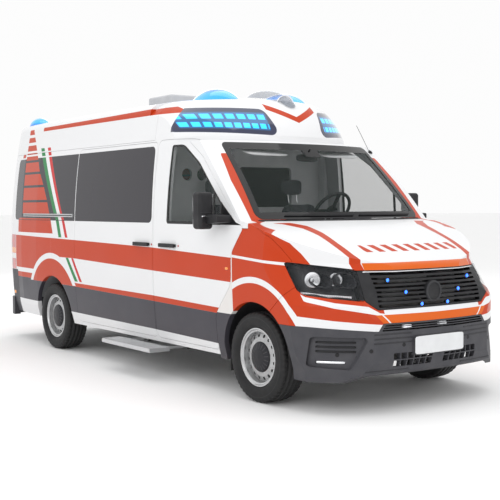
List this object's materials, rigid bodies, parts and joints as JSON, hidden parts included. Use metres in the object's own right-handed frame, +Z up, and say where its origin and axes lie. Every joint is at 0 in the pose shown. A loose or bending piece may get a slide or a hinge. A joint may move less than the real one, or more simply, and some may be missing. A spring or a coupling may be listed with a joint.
{
  "type": "panel van ambulance",
  "caption": "High-roof van ambulance with hinged cab and rear doors, lifting bonnet, steered front wheels, sliding side step, roof light housing and a hollow load space.",
  "frame": {"origin": "on the road, midway between the ends of the vehicle and on its centre line", "axes": "+X forward to the bumper, +Y to the vehicle's left, +Z up"},
  "size_m": [5.9859, 2.424, 2.645],
  "materials": {
    "body_paint": "gloss white paint with orange stripes",
    "tinted_glass": "dark tinted glass",
    "clear_glass": "clear glass",
    "blue_lens": "clear blue plastic lens",
    "red_lens": "red lamp lens",
    "lamp_reflector": "bright reflector in a dark bowl",
    "black_plastic": "grained black plastic",
    "grey_plastic": "grained dark grey plastic",
    "white_plastic": "light moulded plastic",
    "dash_plastic": "soft grained dark plastic",
    "seat_fabric": "grey woven cloth",
    "floor_paint": "grey floor covering",
    "chassis_paint": "satin black paint",
    "exhaust_steel": "dull steel",
    "cast_metal": "cast metal with a dark cover",
    "cast_iron": "machined and cast iron",
    "rail_aluminium": "satin aluminium",
    "tyre": "black tyre rubber",
    "wheel_silver": "silver paint"
  },
  "bodies": {
    "body": {"blue_light_lenses": "blue_lens", "body_side_left": "body_paint", "body_side_right": "body_paint", "bulkhead": "white_plastic", "chassis_frame": "chassis_paint", "dashboard": "dash_plastic", "door_rail": "rail_aluminium", "engine": "cast_metal", "exhaust": "exhaust_steel", "fixed_side_glass": "tinted_glass", "front_axle": "chassis_paint", "front_bumper": "grey_plastic", "front_panel": "body_paint", "front_wings": "body_paint", "fuel_tank": "black_plastic", "grille": "black_plastic", "headlight_lenses": "clear_glass", "headlight_units": "lamp_reflector", "rear_axle": "chassis_paint", "rear_bumper": "grey_plastic", "roof_beacons": "blue_lens", "roof_light_housing": "body_paint", "roof_panel": "body_paint", "roof_vent": "white_plastic", "scuttle_panel": "black_plastic", "searchlight": "clear_glass", "seat_bases": "black_plastic", "seat_pads": "seat_fabric", "sliding_door": "body_paint", "sliding_door_glass": "tinted_glass", "sliding_door_handle": "black_plastic", "tail_lights": "red_lens", "underbody": "floor_paint", "wheel_liners": "black_plastic", "windscreen": "clear_glass", "wipers": "black_plastic"},
    "bonnet": {"bonnet": "body_paint"},
    "steering_wheel": {"steering_wheel": "black_plastic"},
    "front_door_right": {"front_door_right": "body_paint", "front_door_glass_right": "clear_glass", "door_trim_right": "black_plastic"},
    "front_door_left": {"front_door_left": "body_paint", "front_door_glass_left": "clear_glass", "door_trim_left": "black_plastic"},
    "rear_door_right": {"rear_door_right": "body_paint", "rear_door_glass_right": "tinted_glass"},
    "rear_door_left": {"rear_door_left": "body_paint", "rear_door_glass_left": "tinted_glass"},
    "knuckle_right": {"knuckle_right": "cast_iron"},
    "knuckle_left": {"knuckle_left": "cast_iron"},
    "side_step": {"side_step": "rail_aluminium"},
    "wheel_front_right": {"tyre_front_right": "tyre", "rim_front_right": "wheel_silver"},
    "wheel_front_left": {"tyre_front_left": "tyre", "rim_front_left": "wheel_silver"},
    "wheel_rear_right": {"tyre_rear_right": "tyre", "rim_rear_right": "wheel_silver"},
    "wheel_rear_left": {"tyre_rear_left": "tyre", "rim_rear_left": "wheel_silver"}
  },
  "joints": [
    {"name": "steer_left", "type": "hinge", "parent": "body", "child": "knuckle_left", "pos_m": [2.02, 0.8, 0.35], "axis": [0, 0, 1], "range_deg": [-35, 35]},
    {"name": "steer_right", "type": "hinge", "parent": "body", "child": "knuckle_right", "pos_m": [2.02, -0.8, 0.35], "axis": [0, 0, 1], "range_deg": [-35, 35]},
    {"name": "steering_wheel_turn", "type": "hinge", "parent": "body", "child": "steering_wheel", "pos_m": [1.29, 0.4, 1.464], "axis": [-0.8192, 0, 0.5736], "range_deg": [-525, 525]},
    {"name": "front_right_wheel_spin", "type": "hinge", "parent": "knuckle_right", "child": "wheel_front_right", "pos_m": [2.02, -0.875, 0.35], "axis": [0, 1, 0], "continuous": true},
    {"name": "front_left_wheel_spin", "type": "hinge", "parent": "knuckle_left", "child": "wheel_front_left", "pos_m": [2.02, 0.875, 0.35], "axis": [0, 1, 0], "continuous": true},
    {"name": "rear_right_wheel_spin", "type": "hinge", "parent": "body", "child": "wheel_rear_right", "pos_m": [-1.62, -0.875, 0.35], "axis": [0, 1, 0], "continuous": true},
    {"name": "rear_left_wheel_spin", "type": "hinge", "parent": "body", "child": "wheel_rear_left", "pos_m": [-1.62, 0.875, 0.35], "axis": [0, 1, 0], "continuous": true},
    {"name": "front_right_door_swing", "type": "hinge", "parent": "body", "child": "front_door_right", "pos_m": [1.762, -1.025, 1.2], "axis": [0, 0, 1], "range_deg": [0, 66]},
    {"name": "front_left_door_swing", "type": "hinge", "parent": "body", "child": "front_door_left", "pos_m": [1.762, 1.025, 1.2], "axis": [0, 0, -1], "range_deg": [0, 66]},
    {"name": "rear_right_door_swing", "type": "hinge", "parent": "body", "child": "rear_door_right", "pos_m": [-2.952, -0.893, 1.3], "axis": [0, 0, 1], "range_deg": [0, 180]},
    {"name": "rear_left_door_swing", "type": "hinge", "parent": "body", "child": "rear_door_left", "pos_m": [-2.952, 0.893, 1.3], "axis": [0, 0, -1], "range_deg": [0, 180]},
    {"name": "bonnet_lift", "type": "hinge", "parent": "body", "child": "bonnet", "pos_m": [1.885, 0, 1.41], "axis": [0, -1, 0], "range_deg": [0, 52]},
    {"name": "side_step_slide", "type": "slide", "parent": "body", "child": "side_step", "axis": [0, 1, 0], "range_m": [0, 0.2]}
  ],
  "couplings": [
    {"joint": "steer_right", "follows": "steer_left", "ratio": 1},
    {"joint": "steering_wheel_turn", "follows": "steer_left", "ratio": 15}
  ]
}
